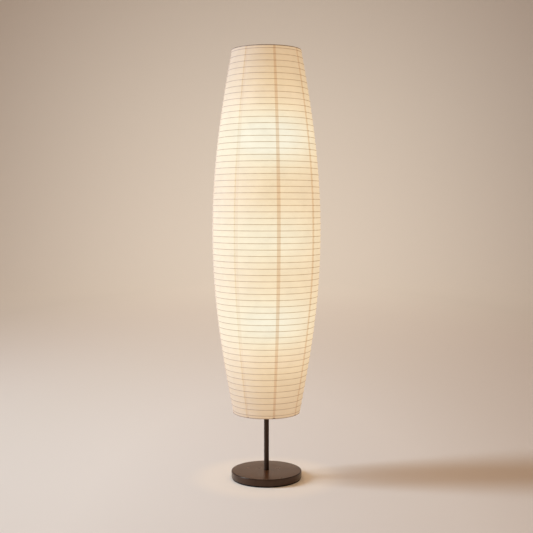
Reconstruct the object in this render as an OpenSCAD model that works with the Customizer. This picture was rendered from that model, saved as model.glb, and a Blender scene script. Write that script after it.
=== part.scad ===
// Paper lantern floor lamp: a barrel of white paper gores on wire hoops, hung by a
// spider from the top of a thin steel pole that carries three bulbs over a round foot.
// Origin: centre of the foot on the floor. +Z is up, -Y is the front. Millimetres.

/* [Shade] */
// Height of the shade's top rim above the floor
lamp_h = 1380; // [1300:10:1480]
// Height of the shade's bottom rim above the floor
shade_z = 216; // [180:4:260]
// Outer radius of the shade at half its height
mid_r = 175; // [160:1:195]
// Outer radius of the shade at the top rim
top_r = 112; // [106:0.5:122]
// Outer radius of the shade at the bottom rim
bottom_r = 108.5; // [104:0.5:120]
// Thickness of one layer of paper
paper_t = 0.4; // [0.3:0.05:0.6]
// Angle over which a gore laps onto its neighbour
lap_angle = 3.8; // [2:0.2:6]
// Turn of the first seam about the axis
seam_turn = -77.5; // [-90:0.5:-45]
// Number of wire hoops under the paper
hoop_count = 60; // [40:1:70]
// Distance from each rim to the hoop next to it
rim_step = 10.4; // [7:0.2:14]
// Thickness of a hoop's wire
hoop_wire = 1.3; // [1:0.1:2]
// Thickness of the rings that stiffen the two rims
rim_wire = 3; // [2.4:0.2:4]
// How far the rings stand out of the paper at the bottom and top rims
ring_show = [0.6, 1.5]; // [0.2:0.1:1.5]

/* [Spider and hub] */
// Thickness of a spider arm
arm_wire = 4; // [3:0.5:5]
// Number of spider arms
arm_count = 4; // [3:1:6]
// Slope at which the arms rise from the hub to the top ring
arm_slope = 13; // [10:0.5:16]
// Outer diameter of the spider's eye
eye_d = 24; // [22:1:30]
// Thickness of the spider's eye
eye_t = 3; // [2:0.5:4]
// Outer diameter of the bush's sleeve
sleeve_d = 12; // [11:0.5:14]
// Diameter of the bush's flange
flange_d = 22; // [20:1:28]
// Thickness of the bush's flange
flange_t = 2.5; // [2:0.5:4]
// Diameter of the stud on top of the pole
stud_d = 8; // [6:1:9]
// Diameter of the nut that holds the shade down
finial_d = 22; // [20:1:28]
// Height of the nut that holds the shade down
finial_h = 14; // [12:1:18]

/* [Pole] */
// Outer diameter of the pole
pole_d = 16; // [15:0.5:20]
// Wall of the pole's tubes
pole_wall = 1.2; // [1:0.1:1.5]
// Outer diameter of the threaded nipples
nipple_d = 10; // [9.5:0.25:10.5]
// Bore of the threaded nipples
nipple_bore = 7; // [6.5:0.25:7.5]
// Depth to which a nipple is screwed into a tube
screw_depth = 12; // [9:1:16]
// Heights of the middles of the three bulbs above the floor
bulb_z = [524, 776, 1072]; // [450:2:1150]

/* [Holder arms] */
// Distance from the pole's axis to the bulbs' axis
reach = 45; // [42:1:50]
// Width of a holder arm
strip_w = 20; // [18:1:24]
// Thickness of a holder arm
strip_t = 2.5; // [2:0.5:3]
// Thickness of the lead to one holder
lead_d = 4; // [3:0.5:4.5]
// Thickness of the bundle of leads inside the pole
trunk_d = 5; // [4:0.5:6]
// Distance from a holder arm down to the hole where its lead leaves the pole
lead_drop = 24; // [20:1:32]

/* [Holders and bulbs] */
// Height of a lamp holder
holder_h = 44; // [40:1:50]
// Outer radius of a lamp holder
holder_r = 17.5; // [16.5:0.5:20]
// Thickness of a lamp holder's floor
holder_floor = 10; // [9:0.5:12]
// Radius of the bulb's screw cap
cap_r = 13; // [12.5:0.25:13.5]
// Length of the bulb's screw cap with its contact
cap_h = 27; // [25:1:28]
// Wall of the holder's screw shell
shell_wall = 0.7; // [0.5:0.1:0.9]
// Radius of the bulb's globe
globe_r = 30; // [27:1:33]
// Wall of the bulb's globe
globe_wall = 1.2; // [0.8:0.1:2]
// Height of the globe's middle above the screw cap
globe_up = 50; // [46:1:56]
// Height of the bulb's body between the cap and the globe
neck_h = 38; // [34:1:40]

/* [Foot] */
// Radius of the foot's cover
foot_r = 113.8; // [105:0.2:130]
// Height of the foot above the floor
foot_h = 26.4; // [24:0.2:32]
// Wall of the foot's cover
cover_t = 1.5; // [1:0.1:2]
// Rounding of the cover's top edge
cover_round = 2.5; // [1.6:0.1:3.5]
// Thickness of the pad under the foot
pad_t = 2; // [1.6:0.2:3]
// Radius of the wiring pocket under the foot
pocket_r = 28; // [27.5:0.5:30]
// Depth of the wiring pocket above the lid
pocket_h = 14.5; // [13.5:0.5:16]
// Radius of the pocket's lid
lid_r = 38; // [36:1:42]
// Thickness of the pocket's lid
lid_t = 1.5; // [1:0.1:2]
// Diameter of the mains lead that the gland takes
cord_d = 7; // [5:0.5:7.5]
// Diameter of the gland where it passes through the cover
gland_d = 12; // [11:0.5:13]
// Height of the gland's axis above the floor
gland_z = 11; // [10.5:0.25:12]

/* [Bottom stay] */
// Height of the stay's arms above the bottom rim
stay_up = 10; // [8:1:14]
// Thickness of a stay arm
stay_wire = 3; // [2.5:0.5:4]
// Diameter of the stay's collar
collar_d = 30; // [26:1:34]
// Height of the stay's collar
collar_h = 12; // [10:1:16]
// Room between the arms' ends and the bottom ring
stay_room = 2; // [1:0.5:4]

/* [Hidden] */
$fn = 64;
RING_FN = 144;

// Clearances: turning fits, screwed fits, faces that pass each other, loose seats
run_gap = 0.05;
screw_gap = 0.05;
face_gap = 0.1;
seat_gap = 0.2;
// A cut runs this far past the face it opens
over = 1;

// Shade: the barrel's outline between its rims
GORE_COUNT = 8;
gore_angle = 360 / GORE_COUNT;
shade_h = lamp_h - shade_z;
shade_mid = shade_z + shade_h / 2;
FULLNESS = 0.14;
function barrel_r(z) =
    let (u = (z - shade_mid) / (shade_h / 2), drop = mid_r - (u > 0 ? top_r : bottom_r))
    mid_r - drop * ((1 + FULLNESS) * u * u - FULLNESS * u * u * u * u);
hoop_pitch = (shade_h - 2 * rim_step) / (hoop_count - 1);
hoop_levels = [for (i = [0 : hoop_count - 1]) shade_z + rim_step + i * hoop_pitch];
gore_levels = concat([shade_z + ring_show[0]], hoop_levels, [lamp_h - ring_show[1]]);
// Each gore turns about an axis set sideways, so one edge lies over the next gore's
half_gore = (gore_angle + lap_angle) / 2;
gore_shift = (paper_t + face_gap) / (2 * sin(gore_angle / 2));
lap_rise = gore_shift * sin(half_gore);
function under_paper(z) = barrel_r(z) - 2 * lap_rise - paper_t - face_gap;
// The hoops' thin wire is eight-sided, which keeps sixty of them light
HOOP_SIDES = 8;

// Rim rings and the spider that hangs from the top one
ring_z = lamp_h - rim_wire / 2;
ring_r = under_paper(lamp_h) - rim_wire / 2;
low_ring_z = shade_z + rim_wire / 2;
low_ring_r = under_paper(shade_z) - rim_wire / 2;
arm_seat = rim_wire / 2 + arm_wire / 2 + face_gap;
arm_end_r = ring_r + arm_seat * sin(arm_slope);
arm_end_z = ring_z - arm_seat * cos(arm_slope);
arm_root_r = eye_d / 2 - 1;
eye_z = arm_end_z - (arm_end_r - arm_root_r) * tan(arm_slope);
ARM_TURN = 45;
// The arms' tops under the edge of the nut
arm_top = eye_z + (finial_d / 2 - arm_root_r) * tan(arm_slope) + arm_wire / 2 / cos(arm_slope);

// Hub, from the top of the pole upwards
flange_top = eye_z - eye_t / 2 - face_gap;
flange_z = flange_top - flange_t;
SLEEVE_PROUD = 0.8;
sleeve_top = max(eye_z + eye_t / 2, arm_top) + SLEEVE_PROUD;
shoulder_top = flange_z - face_gap;
SHOULDER_H = 3;
pole_top = shoulder_top - SHOULDER_H;
finial_z = sleeve_top + face_gap;
FINIAL_CROWN = 3;
stud_top = finial_z + finial_h - FINIAL_CROWN - face_gap;

// Holder arms: each is clamped in a joint of the pole, below its bulb
SEAT_STEP = 1;
function arm_z(i) = bulb_z[i] - globe_up - SEAT_STEP - holder_h - strip_t;
function holder_z(i) = arm_z(i) + strip_t;
function cap_top(i) = holder_z(i) + holder_h + SEAT_STEP;
tube_bottoms = concat([foot_h], [for (i = [0 : 2]) holder_z(i)]);
tube_tops = concat([for (i = [0 : 2]) arm_z(i)], [pole_top]);
nut_af = nipple_d * 1.7;
NUT_H = 5;
nipple_hole = nipple_d + 2 * screw_gap;
shell_r = cap_r + 0.15;
HOLDER_NIPPLE_UP = 8;
LEAD_HOLE_ROOM = 1;

// Foot
weight_r = foot_r - cover_t - seat_gap;
weight_top = foot_h - cover_t;
lid_top = pad_t + lid_t;
pocket_top = lid_top + pocket_h;
pad_outer = foot_r - 2.8;
pad_inner = lid_r + 4;
WASHER_D = 30;
WASHER_T = 1.5;
washer_z = pocket_top - WASHER_T;
nut_z = washer_z - NUT_H;
nipple_foot = nut_z - 2;
LID_SCREWS = 3;
SCREW_D = 3;
SCREW_LONG = 9;
lid_screw_r = (pocket_r + lid_r) / 2;
block_size = [20, 13, 9];
block_y = nut_af / 2 / cos(30) + 1.4;
block_z = lid_top + 0.5;
lead_in_z = nipple_foot - trunk_d / 2 - 0.3;
GLAND_FLANGE_D = 16;
GLAND_FLANGE_T = 3;
GLAND_LONG = 14;

// Stay
stay_z = shade_z + stay_up;
stay_r = low_ring_r - rim_wire / 2 - stay_room;
TIP_D = 6;
STAY_ARMS = 4;
STAY_SCREW_D = 5;

// Colours
INK = "#3a2c24";
PAPER = "#f4e6cf";
STEEL = "#b9b6b0";
BRASS = "#c9a24b";
WHITE = "#efece4";

// A round rod from point a to point b
module rod(a, b, d) {
    v = b - a;
    translate(a)
        rotate([0, acos(v[2] / norm(v)), atan2(v[1], v[0])])
            cylinder(h = norm(v), d = d);
}

// A level ring of wire about the Z axis, its section with the given number of sides
module wire_ring(r, z, wire, sides = 24) {
    rotate_extrude($fn = RING_FN)
        translate([r, z])
            circle(d = wire, $fn = sides);
}

// A tube standing on z, open at both ends
module pipe(z, h, r_out, r_in) {
    difference() {
        translate([0, 0, z])
            cylinder(h = h, r = r_out);
        translate([0, 0, z - over])
            cylinder(h = h + 2 * over, r = r_in);
    }
}

// A hexagon nut standing on z
module hex_nut(z, af, h, hole) {
    difference() {
        translate([0, 0, z])
            cylinder(h = h, r = af / 2 / cos(30), $fn = 6);
        translate([0, 0, z - over])
            cylinder(h = h + 2 * over, d = hole);
    }
}

// Soft ring under the foot; the whole lamp stands on it
module base_pad() {
    color("#2b2725")
        pipe(0, pad_t, pad_outer, pad_inner, $fn = RING_FN);
}

// Cast iron disc that fills the foot, with a wiring pocket and a way out for the lead
module base_weight() {
    chamfer = cover_round;
    color("#4a4a4c")
        difference() {
            rotate_extrude($fn = RING_FN)
                polygon([
                    [0, pad_t], [weight_r, pad_t], [weight_r, weight_top - chamfer],
                    [weight_r - chamfer, weight_top], [0, weight_top]
                ]);
            translate([0, 0, pad_t - over])
                cylinder(h = lid_t + over, r = lid_r + seat_gap);
            translate([0, 0, lid_top - over])
                cylinder(h = pocket_h + over, r = pocket_r);
            cylinder(h = foot_h, d = nipple_hole);
            translate([-gland_d / 2 - seat_gap, 0, lid_top - over])
                cube([gland_d + 2 * seat_gap, foot_r, gland_z + gland_d / 2 + seat_gap - lid_top + over]);
            for (i = [0 : LID_SCREWS - 1])
                rotate([0, 0, 270 + i * 360 / LID_SCREWS])
                    translate([lid_screw_r, 0, 0])
                        cylinder(h = lid_top + SCREW_LONG, d = SCREW_D + 2 * screw_gap, $fn = 24);
        }
}

// Spun steel cover over the weight, with a rounded top edge
module base_cover() {
    inner_r = foot_r - cover_t;
    inner_round = cover_round - cover_t;
    color(INK)
        difference() {
            rotate_extrude($fn = RING_FN) {
                difference() {
                    union() {
                        translate([0, pad_t])
                            square([foot_r, foot_h - pad_t - cover_round]);
                        translate([0, pad_t])
                            square([foot_r - cover_round, foot_h - pad_t]);
                        translate([foot_r - cover_round, foot_h - cover_round])
                            intersection() {
                                circle(r = cover_round);
                                square(cover_round);
                            }
                    }
                    translate([0, pad_t - over])
                        square([inner_r, foot_h - cover_t - pad_t - inner_round + over]);
                    translate([0, pad_t - over])
                        square([inner_r - inner_round, foot_h - cover_t - pad_t + over]);
                    translate([inner_r - inner_round, foot_h - cover_t - inner_round])
                        intersection() {
                            circle(r = inner_round);
                            square(inner_round);
                        }
                }
            }
            cylinder(h = foot_h + over, d = nipple_hole);
            translate([0, foot_r - GLAND_LONG, gland_z])
                rotate([-90, 0, 0])
                    cylinder(h = GLAND_LONG + over, d = gland_d + 2 * screw_gap);
        }
}

// Threaded tube that clamps the foot's weight and cover to the pole
module base_nipple() {
    color(BRASS)
        pipe(nipple_foot, foot_h + screw_depth - nipple_foot, nipple_d / 2, nipple_bore / 2);
}

module base_washer() {
    color(STEEL)
        pipe(washer_z, WASHER_T, WASHER_D / 2, nipple_hole / 2);
}

module base_nut() {
    color(STEEL)
        hex_nut(nut_z, nut_af, NUT_H, nipple_hole);
}

// Strain relief in the back of the foot, bored for the mains lead
module cord_gland() {
    color("#26221f")
        translate([0, foot_r, gland_z])
            rotate([-90, 0, 0])
                difference() {
                    union() {
                        translate([0, 0, -GLAND_LONG])
                            cylinder(h = GLAND_LONG + face_gap, d = gland_d);
                        translate([0, 0, face_gap])
                            cylinder(h = GLAND_FLANGE_T, d = GLAND_FLANGE_D);
                    }
                    translate([0, 0, -GLAND_LONG - over])
                        cylinder(h = GLAND_LONG + GLAND_FLANGE_T + 2 * over, d = cord_d + 2 * screw_gap);
                }
}

// Screw terminals where the mains lead meets the lamp's own leads
module terminal_block() {
    color(WHITE)
        difference() {
            translate([-block_size[0] / 2, block_y, block_z])
                cube(block_size);
            terminal_places()
                cylinder(h = block_size[2], d = SCREW_D + 2 * screw_gap, $fn = 24);
        }
}

module terminal_screws() {
    color(BRASS)
        terminal_places()
            cylinder(h = block_size[2] * 0.6, d = SCREW_D, $fn = 24);
}

// The six screw places of the terminal block, open downwards
module terminal_places() {
    for (x = [-1 : 1], y = [0.25, 0.75])
        translate([x * block_size[0] / 3.4, block_y + y * block_size[1], block_z - over * 0.4])
            children();
}

module pocket_lid() {
    color("#3c3c3e")
        difference() {
            translate([0, 0, pad_t])
                cylinder(h = lid_t, r = lid_r);
            lid_screw_places()
                cylinder(h = lid_top, d = SCREW_D + 2 * screw_gap, $fn = 24);
        }
}

module lid_screws() {
    head_h = 1.4;
    color(STEEL)
        lid_screw_places() {
            translate([0, 0, pad_t - head_h])
                cylinder(h = head_h, d = SCREW_D * 2);
            translate([0, 0, pad_t - head_h])
                cylinder(h = head_h + SCREW_LONG, d = SCREW_D, $fn = 24);
        }
}

module lid_screw_places() {
    for (i = [0 : LID_SCREWS - 1])
        rotate([0, 0, 270 + i * 360 / LID_SCREWS])
            translate([lid_screw_r, 0, 0])
                children();
}

// One length of the pole, threaded at both ends; i counts from the foot
module pole_tube(i) {
    z = tube_bottoms[i];
    h = tube_tops[i] - z;
    color(INK)
        difference() {
            translate([0, 0, z])
                cylinder(h = h, d = pole_d);
            translate([0, 0, z - over])
                cylinder(h = h + 2 * over, d = nipple_hole);
            translate([0, 0, z + screw_depth + 2])
                cylinder(h = h - 2 * (screw_depth + 2), d = pole_d - 2 * pole_wall);
            if (i < 3)
                rod([0, 0, arm_z(i) - lead_drop], [0, -pole_d, arm_z(i) - lead_drop],
                    lead_d + 2 * LEAD_HOLE_ROOM);
        }
}

// Threaded tube that joins two lengths of the pole through a holder arm
module pole_nipple(i) {
    color(BRASS)
        pipe(arm_z(i) - screw_depth, strip_t + 2 * screw_depth, nipple_d / 2, nipple_bore / 2);
}

// Plug in the pole's top end, with a shoulder and the stud that carries the shade
module top_stud() {
    color(STEEL) {
        translate([0, 0, pole_top - screw_depth])
            cylinder(h = screw_depth + 0.01, d = nipple_d);
        translate([0, 0, pole_top])
            cylinder(h = SHOULDER_H, d = pole_d);
        translate([0, 0, pole_top])
            cylinder(h = stud_top - pole_top, d = stud_d);
    }
}

// The lamp's own leads: up the pole, and out through its side to each holder
module wiring() {
    top_lead = arm_z(2) - lead_drop;
    color("#d8d2c6") {
        rod([0, 0, lead_in_z], [0, 0, top_lead], trunk_d);
        translate([0, 0, lead_in_z])
            sphere(d = trunk_d);
        rod([0, 0, lead_in_z], [0, block_y, lead_in_z], trunk_d);
        translate([0, 0, top_lead])
            sphere(d = trunk_d);
        for (i = [0 : 2]) {
            low = arm_z(i) - lead_drop;
            rod([0, 0, low], [0, -reach, low], lead_d);
            translate([0, -reach, low])
                sphere(d = lead_d);
            rod([0, -reach, low], [0, -reach, holder_z(i) + holder_floor], lead_d);
        }
    }
}

// Flat steel strip that carries a holder beside the pole
module holder_arm(i) {
    color(INK)
        translate([0, 0, arm_z(i)])
            linear_extrude(height = strip_t)
                difference() {
                    union() {
                        circle(d = strip_w);
                        translate([0, -reach])
                            circle(d = strip_w);
                        translate([-strip_w / 2, -reach])
                            square([strip_w, reach]);
                    }
                    circle(d = nipple_hole);
                    translate([0, -reach])
                        circle(d = nipple_hole);
                }
}

// Short threaded tubes, one through each arm into the holder above
module holder_nipples() {
    color(BRASS)
        for (i = [0 : 2])
            translate([0, -reach, 0])
                pipe(arm_z(i) - NUT_H - 1, NUT_H + 1 + strip_t + HOLDER_NIPPLE_UP,
                     nipple_d / 2, nipple_bore / 2);
}

module holder_nuts() {
    color(STEEL)
        for (i = [0 : 2])
            translate([0, -reach, 0])
                hex_nut(arm_z(i) - NUT_H, nut_af * 0.94, NUT_H, nipple_hole);
}

// Moulded cup of a lamp holder
module holder_body(i) {
    foot = holder_r * 0.72;
    lip = 1.2;
    color("#2d2a28")
        translate([0, -reach, holder_z(i)])
            rotate_extrude()
                polygon([
                    [nipple_hole / 2, 0], [foot, 0], [holder_r, holder_floor + 2],
                    [holder_r, holder_h - 4], [holder_r + lip, holder_h - 3],
                    [holder_r + lip, holder_h], [shell_r + shell_wall + face_gap, holder_h],
                    [shell_r + shell_wall + face_gap, holder_floor], [nipple_hole / 2, holder_floor]
                ]);
}

// Threaded brass sleeve that grips the bulb's cap, drawn at its mean radius
module holder_shell(i) {
    color(BRASS)
        translate([0, -reach, 0])
            pipe(holder_z(i) + holder_floor, holder_h - holder_floor - 1,
                 shell_r + shell_wall, shell_r);
}

// Centre contact of a holder; the bulb's tip meets it when the bulb is home
module holder_contact(i) {
    foot_z = holder_z(i) + holder_floor;
    tip_z = cap_top(i) - cap_h - seat_gap;
    color(BRASS)
        translate([0, -reach, foot_z]) {
            cylinder(h = 2, r = nipple_hole / 2 + 1.5);
            cylinder(h = tip_z - foot_z - 1, d = 5);
            translate([0, 0, tip_z - foot_z - 1.5])
                cylinder(h = 1.5, d = 7);
        }
}

// Screw cap of a bulb, drawn at its mean radius, with its insulator and tip
module bulb_cap(i) {
    tip_r = 4.5;
    color(STEEL)
        translate([0, -reach, cap_top(i) - cap_h])
            rotate_extrude()
                polygon([
                    [0, 0], [tip_r, 0], [tip_r + 0.5, 1.5], [cap_r - 3, 4.5], [cap_r - 0.8, 6],
                    [cap_r, 8], [cap_r, cap_h - face_gap], [0, cap_h - face_gap]
                ]);
}

// Moulded body of a bulb, flaring from the cap to the globe
module bulb_body(i) {
    top = neck_top_r();
    steps = 10;
    color(WHITE)
        translate([0, -reach, cap_top(i)])
            rotate_extrude()
                polygon(concat(
                    [[0, 0]],
                    [for (s = [0 : steps])
                        let (t = s / steps)
                        [cap_r + 0.6 + (top - cap_r - 0.6) * t * t * (3 - 2 * t), neck_h * t]],
                    [[0, neck_h]]
                ));
}

function neck_top_r() = sqrt(globe_r * globe_r - (globe_up - neck_h) * (globe_up - neck_h));

// Opal globe of a bulb, standing on the body
module bulb_globe(i) {
    color("#fff3da")
        translate([0, -reach, cap_top(i) + globe_up])
            difference() {
                sphere(r = globe_r);
                sphere(r = globe_r - globe_wall);
                translate([0, 0, neck_h - globe_up - 2 * globe_r])
                    cylinder(h = 2 * globe_r, r = 2 * globe_r);
            }
}

// Collar on the pole with wire arms that keep the shade's open bottom centred
module bottom_stay() {
    color(STEEL)
        difference() {
            union() {
                translate([0, 0, stay_z - collar_h / 2])
                    cylinder(h = collar_h, d = collar_d);
                for (i = [0 : STAY_ARMS - 1])
                    rotate([0, 0, seam_turn + i * 360 / STAY_ARMS]) {
                        rod([collar_d / 2 - 2, 0, stay_z], [stay_r - TIP_D / 2, 0, stay_z], stay_wire);
                        translate([stay_r - TIP_D / 2, 0, stay_z])
                            sphere(d = TIP_D, $fn = 24);
                    }
            }
            translate([0, 0, stay_z - collar_h])
                cylinder(h = 2 * collar_h, d = pole_d + 2 * run_gap);
            rod([0, 0, stay_z], [0, collar_d, stay_z], STAY_SCREW_D + 2 * screw_gap);
        }
}

// Grub screw that holds the collar on the pole
module stay_screw() {
    color("#55524e")
        difference() {
            rod([0, pole_d / 2 + face_gap, stay_z], [0, collar_d / 2 - 0.5, stay_z], STAY_SCREW_D);
            translate([0, collar_d / 2 - 3, stay_z])
                rotate([-90, 0, 0])
                    cylinder(h = 4, d = STAY_SCREW_D * 0.55, $fn = 6);
        }
}

// Nylon bush on the stud; the shade rests and turns on it
module hub_bush() {
    color("#e4e0d6")
        difference() {
            union() {
                translate([0, 0, flange_z])
                    cylinder(h = flange_t, d = flange_d);
                translate([0, 0, flange_z])
                    cylinder(h = sleeve_top - flange_z, d = sleeve_d);
            }
            translate([0, 0, flange_z - over])
                cylinder(h = sleeve_top - flange_z + 2 * over, d = stud_d + 2 * run_gap);
        }
}

// Turned nut with grip flutes that holds the shade on the stud
module finial_nut() {
    flutes = 16;
    color(INK)
        difference() {
            union() {
                translate([0, 0, finial_z])
                    cylinder(h = finial_h - FINIAL_CROWN, d = finial_d);
                translate([0, 0, finial_z + finial_h - FINIAL_CROWN])
                    cylinder(h = FINIAL_CROWN, d1 = finial_d, d2 = finial_d - 5);
            }
            translate([0, 0, finial_z - over])
                cylinder(h = stud_top - finial_z + over + face_gap, d = stud_d + 2 * run_gap);
            for (i = [0 : flutes - 1])
                rotate([0, 0, i * 360 / flutes])
                    translate([finial_d / 2 + 0.6, 0, finial_z - over])
                        cylinder(h = finial_h + 2 * over, r = 1.4, $fn = 24);
        }
}

// Eye and arms welded under the top ring
module shade_spider() {
    color(STEEL)
        difference() {
            union() {
                translate([0, 0, eye_z - eye_t / 2])
                    cylinder(h = eye_t, d = eye_d);
                for (i = [0 : arm_count - 1])
                    rotate([0, 0, ARM_TURN + i * 360 / arm_count])
                        rod([arm_root_r, 0, eye_z], [arm_end_r, 0, arm_end_z], arm_wire);
            }
            translate([0, 0, eye_z - 2 * eye_t])
                cylinder(h = 4 * eye_t, d = sleeve_d + 2 * run_gap);
        }
}

module top_ring() {
    color(INK)
        wire_ring(ring_r, ring_z, rim_wire);
}

module bottom_ring() {
    color(INK)
        wire_ring(low_ring_r, low_ring_z, rim_wire);
}

// Closed wire hoops, each a little inside the paper that is pasted over it
module rib_hoops() {
    color("#c9a27e")
        for (z = hoop_levels)
            wire_ring(under_paper(z) - hoop_wire / 2, z, hoop_wire, HOOP_SIDES);
}

// One strip of paper from rim to rim, creased over every hoop
module paper_gore(i) {
    start = seam_turn + (i - 1) * gore_angle;
    side = start + gore_angle / 2 + 90;
    color(PAPER)
        translate([gore_shift * cos(side), gore_shift * sin(side), 0])
            rotate([0, 0, start - lap_angle / 2])
                rotate_extrude(angle = gore_angle + lap_angle, $fn = RING_FN)
                    polygon(concat(
                        [for (z = gore_levels) [barrel_r(z) - lap_rise, z]],
                        [for (k = [len(gore_levels) - 1 : -1 : 0])
                            [barrel_r(gore_levels[k]) - lap_rise - paper_t, gore_levels[k]]]
                    ));
}

base_pad();
base_weight();
base_cover();
base_nipple();
base_washer();
base_nut();
cord_gland();
terminal_block();
terminal_screws();
pocket_lid();
lid_screws();
pole_tube(0);  // pole_tube_1
pole_tube(1);  // pole_tube_2
pole_tube(2);  // pole_tube_3
pole_tube(3);  // pole_tube_4
pole_nipple(0);  // pole_nipple_1
pole_nipple(1);  // pole_nipple_2
pole_nipple(2);  // pole_nipple_3
top_stud();
wiring();
holder_arm(0);  // holder_arm_1
holder_arm(1);  // holder_arm_2
holder_arm(2);  // holder_arm_3
holder_nipples();
holder_nuts();
holder_body(0);  // holder_body_1
holder_body(1);  // holder_body_2
holder_body(2);  // holder_body_3
holder_shell(0);  // holder_shell_1
holder_shell(1);  // holder_shell_2
holder_shell(2);  // holder_shell_3
holder_contact(0);  // holder_contact_1
holder_contact(1);  // holder_contact_2
holder_contact(2);  // holder_contact_3
bulb_cap(0);  // bulb_cap_1
bulb_cap(1);  // bulb_cap_2
bulb_cap(2);  // bulb_cap_3
bulb_body(0);  // bulb_body_1
bulb_body(1);  // bulb_body_2
bulb_body(2);  // bulb_body_3
bulb_globe(0);  // bulb_globe_1
bulb_globe(1);  // bulb_globe_2
bulb_globe(2);  // bulb_globe_3
bottom_stay();
stay_screw();
hub_bush();
finial_nut();
shade_spider();
top_ring();
bottom_ring();
rib_hoops();
paper_gore(1);  // paper_gore_1
paper_gore(2);  // paper_gore_2
paper_gore(3);  // paper_gore_3
paper_gore(4);  // paper_gore_4
paper_gore(5);  // paper_gore_5
paper_gore(6);  // paper_gore_6
paper_gore(7);  // paper_gore_7
paper_gore(8);  // paper_gore_8
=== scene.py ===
"""The paper lantern floor lamp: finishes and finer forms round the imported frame, in a studio."""

import math
import random

import bpy
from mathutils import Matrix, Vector, noise


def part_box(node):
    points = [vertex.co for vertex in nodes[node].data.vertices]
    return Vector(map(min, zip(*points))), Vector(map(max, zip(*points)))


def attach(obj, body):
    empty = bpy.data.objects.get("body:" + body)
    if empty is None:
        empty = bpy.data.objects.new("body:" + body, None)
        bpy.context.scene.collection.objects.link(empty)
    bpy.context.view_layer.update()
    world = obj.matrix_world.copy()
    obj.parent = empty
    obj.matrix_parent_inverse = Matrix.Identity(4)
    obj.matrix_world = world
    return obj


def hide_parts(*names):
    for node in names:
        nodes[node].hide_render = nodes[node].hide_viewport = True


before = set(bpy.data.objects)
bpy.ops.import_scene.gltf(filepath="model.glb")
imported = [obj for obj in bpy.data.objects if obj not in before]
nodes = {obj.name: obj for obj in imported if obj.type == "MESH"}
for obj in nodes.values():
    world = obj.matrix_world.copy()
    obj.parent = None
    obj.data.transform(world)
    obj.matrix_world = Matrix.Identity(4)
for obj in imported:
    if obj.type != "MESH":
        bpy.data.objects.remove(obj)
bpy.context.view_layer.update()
MM = 0.001


# ---- Camera
# It stands three metres in front of the lamp at waist height, with a portrait lens,
# and looks slightly down.
CAMERA_PLACE = (0, -3.0445, 0.8818)
CAMERA_DIP = math.radians(2.657)
LENS = 63.94
SHIFT = -0.03

bpy.ops.object.camera_add(location=CAMERA_PLACE, rotation=(math.pi / 2 - CAMERA_DIP, 0, 0))
camera = bpy.context.object
camera.name = "camera"
camera.data.lens = LENS
camera.data.shift_y = SHIFT
bpy.context.scene.camera = camera


# ---- Studio
# One seamless sheet of warm grey-beige: a floor that rolls up all round into a wall.
# A tall soft light stands on the left, and the open top lets in an even, warm fill.
FLOOR_R = 7.0
ROLL_R = 2.0
WALL_H = 7.0


def select_only(*pieces):
    """Only these are selected, and the first is active."""
    bpy.ops.object.select_all(action="DESELECT")
    for piece in pieces:
        piece.select_set(True)
    bpy.context.view_layer.objects.active = pieces[0]


def drawn_line(name, points):
    """An open line through the points, pulled out of one vertex; it stays in edit mode."""
    bpy.ops.object.select_all(action="DESELECT")
    bpy.ops.mesh.primitive_plane_add(size=1)
    line = bpy.context.object
    line.name = line.data.name = name
    bpy.ops.object.mode_set(mode="EDIT")
    bpy.ops.mesh.select_mode(type="VERT")
    bpy.ops.mesh.select_all(action="SELECT")
    bpy.ops.mesh.merge(type="CENTER")
    points = [Vector(p) for p in points]
    bpy.ops.transform.translate(value=points[0])
    for last, point in zip(points, points[1:]):
        bpy.ops.mesh.extrude_region_move(TRANSFORM_OT_translate={"value": point - last})
    return line


def spun(line, steps, turn=2 * math.pi, sharp=math.radians(30)):
    """The line turned about the Z axis into a surface, out of edit mode; only sharp edges show."""
    bpy.ops.mesh.select_all(action="SELECT")
    bpy.ops.mesh.spin(steps=steps, angle=turn, center=(0, 0, 0), axis=(0, 0, 1))
    bpy.ops.mesh.select_all(action="SELECT")
    bpy.ops.mesh.remove_doubles(threshold=0.01 * MM)
    bpy.ops.mesh.normals_make_consistent(inside=False)
    bpy.ops.object.mode_set(mode="OBJECT")
    bpy.ops.object.shade_smooth_by_angle(angle=sharp)
    return line


def new_material(name, **constants):
    """A material and its shader, with constants set on the shader's own sockets."""
    made = bpy.data.materials.new(name)
    made.use_nodes = True
    shader = made.node_tree.nodes["Principled BSDF"]
    for socket, value in constants.items():
        shader.inputs[socket.replace("_", " ")].default_value = value
    return made, shader


def socket_of(tree, socket, value):
    """Sets a socket to a number, or links it to an output."""
    if isinstance(value, bpy.types.NodeSocket):
        tree.links.new(value, socket)
    else:
        socket.default_value = value


def place_on(tree, stretch=(1, 1, 1)):
    """The piece's own coordinates in metres, stretched along its axes."""
    where = tree.nodes.new("ShaderNodeTexCoord").outputs["Object"]
    if stretch == (1, 1, 1):
        return where
    mapping = tree.nodes.new("ShaderNodeMapping")
    mapping.inputs["Scale"].default_value = stretch
    tree.links.new(where, mapping.inputs["Vector"])
    return mapping.outputs["Vector"]


def grain(tree, size, detail=2, stretch=(1, 1, 1)):
    """Noise from 0 to 1 whose lumps are about this many metres across."""
    speckle = tree.nodes.new("ShaderNodeTexNoise")
    speckle.inputs["Scale"].default_value = 1 / size
    speckle.inputs["Detail"].default_value = detail
    tree.links.new(place_on(tree, stretch), speckle.inputs["Vector"])
    return speckle.outputs["Fac"]


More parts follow.
